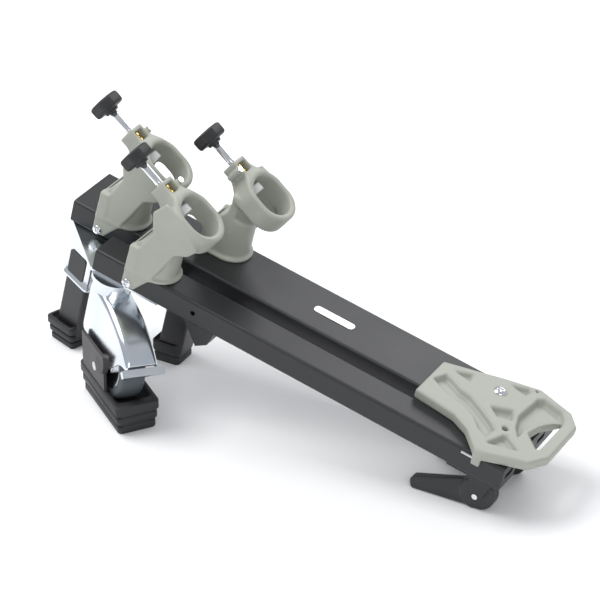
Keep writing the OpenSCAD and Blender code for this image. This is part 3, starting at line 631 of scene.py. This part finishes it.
def lever_field(x, y, z):
    """Hub about Y at the origin, handle towards -X and down."""
    hub = round_slab(np.hypot(x, z) - LEVER_R, y, LEVER_W / 2, 1.6)
    turn = math.radians(LEVER_DIP)
    u, v = x * math.cos(turn) + z * math.sin(turn), -x * math.sin(turn) + z * math.cos(turn)
    handle = outline_field(u, v, [(-LEVER_L, -5), (-LEVER_L + 2, -6.6), (-8, -LEVER_R + 2.5),
                                  (-4, LEVER_R - 6),
                                  (-14, LEVER_R - 4.5), (-LEVER_L + 3, 5.4), (-LEVER_L, 3)])
    narrow = LEVER_W / 2 - 0.6 - np.clip(v, 0, 12) * 0.25
    handle = np.maximum(handle, np.abs(y) - narrow)
    solid = blend_union(hub, handle, 4)
    return np.maximum(solid, -(np.hypot(x, z) - 3.05))


LEVER_LOW, LEVER_HIGH, LEVER_STEP = (-78, -9, -38), (21, 9, 21), 0.75
grid = [axis_values(LEVER_LOW, LEVER_HIGH, LEVER_STEP, axis) for axis in range(3)]
lever_mesh = zero_surface(soften(lever_field(*grid), 2), LEVER_LOW, LEVER_STEP)
for side in ("front", "rear"):
    pivot = on_deck(joints["lever_" + side + "_hinge"]["pos_m"])
    finish_piece("moulded_lever_" + side, *lever_mesh, shifted(deck, pivot), lever_plastic,
                 "lever_" + side,
                 "black_plastic", ["cam_lever_" + side])

# ------------------------------------------------------------------ caster
WHEEL_R = 37.5
FORK_W = 35
FORK_T = 2.5
FORK_TOP = -46.3
HOOD_REACH = caster_trail + 46


def hood_section(f, top, bottom, half, corner):
    """An inverted U across the fork at f, from its near lower edge to its far one."""
    points = []
    for i in range(7):
        points.append((f, -half, bottom + (top - corner - bottom) * i / 7))
    for i in range(7):
        t = math.pi / 2 * i / 6
        points.append((f, -half + corner - corner * math.cos(t),
                       top - corner + corner * math.sin(t)))
    for i in range(1, 6):
        points.append((f, (-half + corner) * (1 - i / 3), top))
    for i in range(7):
        t = math.pi / 2 * i / 6
        points.append((f, half - corner + corner * math.sin(t),
                       top - corner + corner * math.cos(t)))
    for i in range(1, 8):
        points.append((f, half, top - corner + (bottom - top + corner) * i / 7))
    return points


def fork_mesh():
    top_line = [(-15, FORK_TOP), (0, FORK_TOP), (22, FORK_TOP), (36, FORK_TOP - 1.5),
                (50, FORK_TOP - 4.5),
                (64, FORK_TOP - 8.5), (76, FORK_TOP - 13), (86, FORK_TOP - 19),
                (HOOD_REACH, FORK_TOP - 27)]
    low_line = [axle.z - 2, axle.z - 8, axle.z - 11, axle.z - 12, axle.z - 11, axle.z + 4,
                axle.z + 20,
                axle.z + 26, FORK_TOP - 30.5]
    sections = []
    for i, ((f, top), low) in enumerate(zip(top_line, low_line)):
        sections.append(hood_section(f, top, low, FORK_W / 2 - FORK_T / 2, 5 if i < 8 else 3))
    count = len(sections[0])
    vertices = [point for section in sections for point in section]
    faces = [(i * count + j, i * count + j + 1, (i + 1) * count + j + 1, (i + 1) * count + j)
             for i in range(len(sections) - 1) for j in range(count - 1)]
    return vertices, faces


fork_shell = finish_piece("fork_hood", *fork_mesh(), fork_frame, zinc, "caster", "zinc_plate",
                          ["fork"])
wall = fork_shell.modifiers.new("sheet", "SOLIDIFY")
wall.thickness = FORK_T * MM
wall.offset = 0
round_edges = fork_shell.modifiers.new("round", "SUBSURF")
round_edges.levels = round_edges.render_levels = 1

hub_profile = [(4.2, -14.6), (10.5, -14.6), (11.5, -9.5), (19, -10.5), (22.5, -12.2), (26, -12.2)]
hub_profile = rounded_profile(hub_profile + [(r, -z) for r, z in reversed(hub_profile)], 1.2)
finish_piece("wheel_disc", *ring_loft([circle_ring(r, z, 96) for r, z in hub_profile],
                                      closed_path=True), wheel_frame,
             zinc, "wheel", "zinc_plate", ["wheel_hub"])
tread_profile = rounded_profile([(26, -12.6), (28, -13), (34, -13), (36.6, -10.5), (WHEEL_R, -4),
                                 (WHEEL_R, 4),
                                 (36.6, 10.5), (34, 13), (28, 13), (26, 12.6)], 2.0)
finish_piece("wheel_tyre", *ring_loft([circle_ring(r, z, 128) for r, z in tread_profile],
                                      closed_path=True), wheel_frame,
             tyre_rubber, "wheel", "tyre", ["tyre"])


def boot_mesh(width, depth, height, tiers, grow, corner, room=None, room_floor=None):
    """Ribbed rubber boot: each tier flares a little, with a groove above it, and an open top."""
    pitch = height / tiers
    rings = [rect_ring(width - 3, depth - 3, corner - 1, 0)]
    for i in range(tiers):
        w, d, z = width + grow * i, depth + grow * i, i * pitch
        for inset, rise in ((1.0, 0.25), (0, 1.2), (-0.1, pitch * 0.45), (0, pitch * 0.66),
                            (1.2, pitch * 0.74),
                            (3.0, pitch * 0.78), (3.2, pitch * 0.92)):
            if i == tiers - 1 and rise > pitch * 0.7:
                continue
            rings.append(rect_ring(w - inset, d - inset, corner, z + rise))
    top = height
    w, d = width + grow * (tiers - 1), depth + grow * (tiers - 1)
    rings += [rect_ring(w, d, corner, top - 1.2), rect_ring(w - 0.8, d - 0.8, corner, top - 0.3),
              rect_ring(w - 2.4, d - 2.4, corner, top),
              rect_ring(room[0] + 1, room[1] + 1, corner - 0.5, top),
              rect_ring(*room, corner - 1, top - 0.8), rect_ring(*room, corner - 1, room_floor)]
    return ring_loft(rings)


finish_piece("wheel_boot", *boot_mesh(100, 41, 33, 3, 3, 5, (84, 36), 26), boot_frame, rubber,
             "caster", "rubber",
             ["caster_boot"])
finish_piece("leg_rubber_boot", *boot_mesh(38, 31, 27, 3, 2.5, 4, (36, 28), 20), leg_boot_frame,
             rubber, "inner_leg",
             "rubber", ["leg_boot"])
rear_foot_middle = middle("rear_leg_foot")
finish_piece("rear_foot_cap", *boot_mesh(31, 31, 24, 2, 2, 5, (30, 30), 18),
             axes_frame(Vector((1, 0, 0)), Vector((0, 1, 0)), Vector((0, 0, 1)),
                        Vector((rear_foot_middle.x, rear_foot_middle.y, 0))),
             rubber, "deck", "rubber", ["rear_leg_foot"])

cover = frame["nodes"]["side_cover"]
cover.data.materials.clear()
cover.data.materials.append(cover_plastic)

# ------------------------------------------------------------------ telescopic leg housing
HOUSING_W, HOUSING_D = 40.6, 31.6
HOUSING_TOP, HOUSING_L = -46, 60


def housing_mesh():
    """Round at the swivel head, squaring off towards the open lower end."""
    def section(t, z, grow=0.0):
        square = rect_ring(HOUSING_W + grow, HOUSING_D + grow, 5, z, 16)
        ring = []
        for x, y, _ in square:
            angle = math.atan2(y, x)
            ring.append((x + (21.5 * math.cos(angle) - x) * t,
                         y + (21.5 * math.sin(angle) - y) * t, z))
        return ring
    levels = [(1, HOUSING_TOP), (1, HOUSING_TOP - 6), (0.75, HOUSING_TOP - 13),
              (0.35, HOUSING_TOP - 22),
              (0.08, HOUSING_TOP - 32), (0, HOUSING_TOP - 40), (0, HOUSING_TOP - HOUSING_L + 4)]
    low = HOUSING_TOP - HOUSING_L
    rings = [section(t, z) for t, z in levels]
    rings += [section(0, low + 3.4, 1.6), section(0, low + 0.4, 2.0), section(0, low, 1.2)]
    rings += [rect_ring(35, 26, 3, low, 16), rect_ring(34.8, 25.8, 3, low + 1, 16),
              rect_ring(34.8, 25.8, 3, low + 30, 16)]
    return ring_loft(rings)


finish_piece("leg_sleeve", *housing_mesh(), leg_frame, zinc, "deck", "zinc_plate", ["leg_housing"])

# ------------------------------------------------------------------ stage, light and camera
AZIMUTH, ELEVATION = math.radians(30), math.radians(31)
VIEW_DISTANCE = 3.0
VIEW_WIDTH = 0.600
right = Vector((math.cos(AZIMUTH), math.sin(AZIMUTH), 0))
up = Vector((-math.sin(AZIMUTH) * math.sin(ELEVATION), math.cos(AZIMUTH) * math.sin(ELEVATION),
             math.cos(ELEVATION)))
target = deck_origin + 0.2016 * right - 0.049 * up
outward = right.cross(up)
camera_data = bpy.data.cameras.new("camera")
camera_data.sensor_width = 36
camera_data.lens = 36 * VIEW_DISTANCE / VIEW_WIDTH
camera_data.clip_end = 20
camera = bpy.data.objects.new("camera", camera_data)
camera.location = target + outward * VIEW_DISTANCE
camera.rotation_euler = outward.to_track_quat("Z", "Y").to_euler()
bpy.context.scene.collection.objects.link(camera)
bpy.context.scene.camera = camera

floor_mesh = bpy.data.meshes.new("studio_floor")
FLOOR_HALF = 6
floor_mesh.from_pydata([(-FLOOR_HALF, -FLOOR_HALF, 0), (FLOOR_HALF, -FLOOR_HALF, 0),
                        (FLOOR_HALF, FLOOR_HALF, 0), (-FLOOR_HALF, FLOOR_HALF, 0)], [],
                        [(0, 1, 2, 3)])
floor_material, _ = principled("studio_floor", (0.93, 0.93, 0.93), 0, 0.7)
floor_mesh.materials.append(floor_material)
floor = bpy.data.objects.new("studio_floor", floor_mesh)
bpy.context.scene.collection.objects.link(floor)


def softbox(name, place, size, power, aim=(0.15, -0.05, 0.15)):
    light = bpy.data.lights.new(name, "AREA")
    light.shape = "RECTANGLE"
    light.size, light.size_y = size
    light.energy = power
    obj = bpy.data.objects.new(name, light)
    obj.location = place
    obj.rotation_euler = (Vector(place) - Vector(aim)).to_track_quat("Z", "Y").to_euler()
    bpy.context.scene.collection.objects.link(obj)


softbox("key", (-0.8, -0.3, 1.9), (1.3, 1.3), 34)
softbox("fill", (1.6, -1.5, 1.3), (1.2, 1.2), 14)
softbox("back", (0.4, 1.8, 1.5), (1.6, 0.8), 16)
world = bpy.data.worlds.new("studio")
world.use_nodes = True
world.node_tree.nodes["Background"].inputs["Color"].default_value = (0.92, 0.95, 1.0, 1)
world.node_tree.nodes["Background"].inputs["Strength"].default_value = 0.55
bpy.context.scene.world = world
bpy.context.scene.view_settings.view_transform = "Standard"
